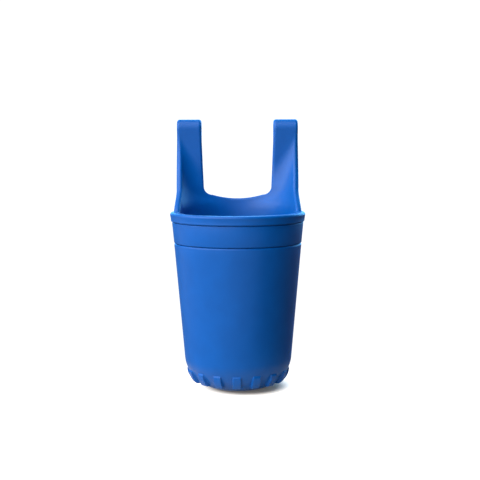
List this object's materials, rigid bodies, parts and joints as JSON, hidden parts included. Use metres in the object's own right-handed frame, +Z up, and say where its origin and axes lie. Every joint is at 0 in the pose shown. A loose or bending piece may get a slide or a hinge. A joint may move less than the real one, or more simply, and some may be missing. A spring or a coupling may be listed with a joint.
{
  "type": "hanging cup with hook arms",
  "caption": "Tapered foam cup with a lugged base, a rim bead and a raised back whose two arms turn over into sprung hooks that hang it on a bag's wall.",
  "frame": {"origin": "on the cup's axis, at the middle of the flat under its base", "axes": "+Z up along the cup's axis, -Y towards the cup's front, +Y towards the arms and hooks, +X towards the object's own left arm"},
  "size_m": [0.1008, 0.1116, 0.2015],
  "materials": {
    "cup_body": "satin moulded foam skin",
    "collar": "satin moulded foam skin",
    "rim_bead": "satin moulded foam skin",
    "arm": "satin moulded foam skin",
    "hook": "satin moulded foam skin"
  },
  "bodies": {
    "cup": {"cup_body": "cup_body", "collar": "collar", "rim_bead": "rim_bead", "arm_left": "arm", "arm_right": "arm"},
    "hook_left": {"hook_left": "hook"},
    "hook_right": {"hook_right": "hook"}
  },
  "joints": [
    {"name": "hook_left_flex", "type": "hinge", "parent": "cup", "child": "hook_left", "pos_m": [0.038, 0.0534, 0.2015], "axis": [1, 0, 0], "range_deg": [0, 20], "stiffness_Nm_per_rad": 0.04},
    {"name": "hook_right_flex", "type": "hinge", "parent": "cup", "child": "hook_right", "pos_m": [-0.038, 0.0534, 0.2015], "axis": [1, 0, 0], "range_deg": [0, 20], "stiffness_Nm_per_rad": 0.04}
  ]
}
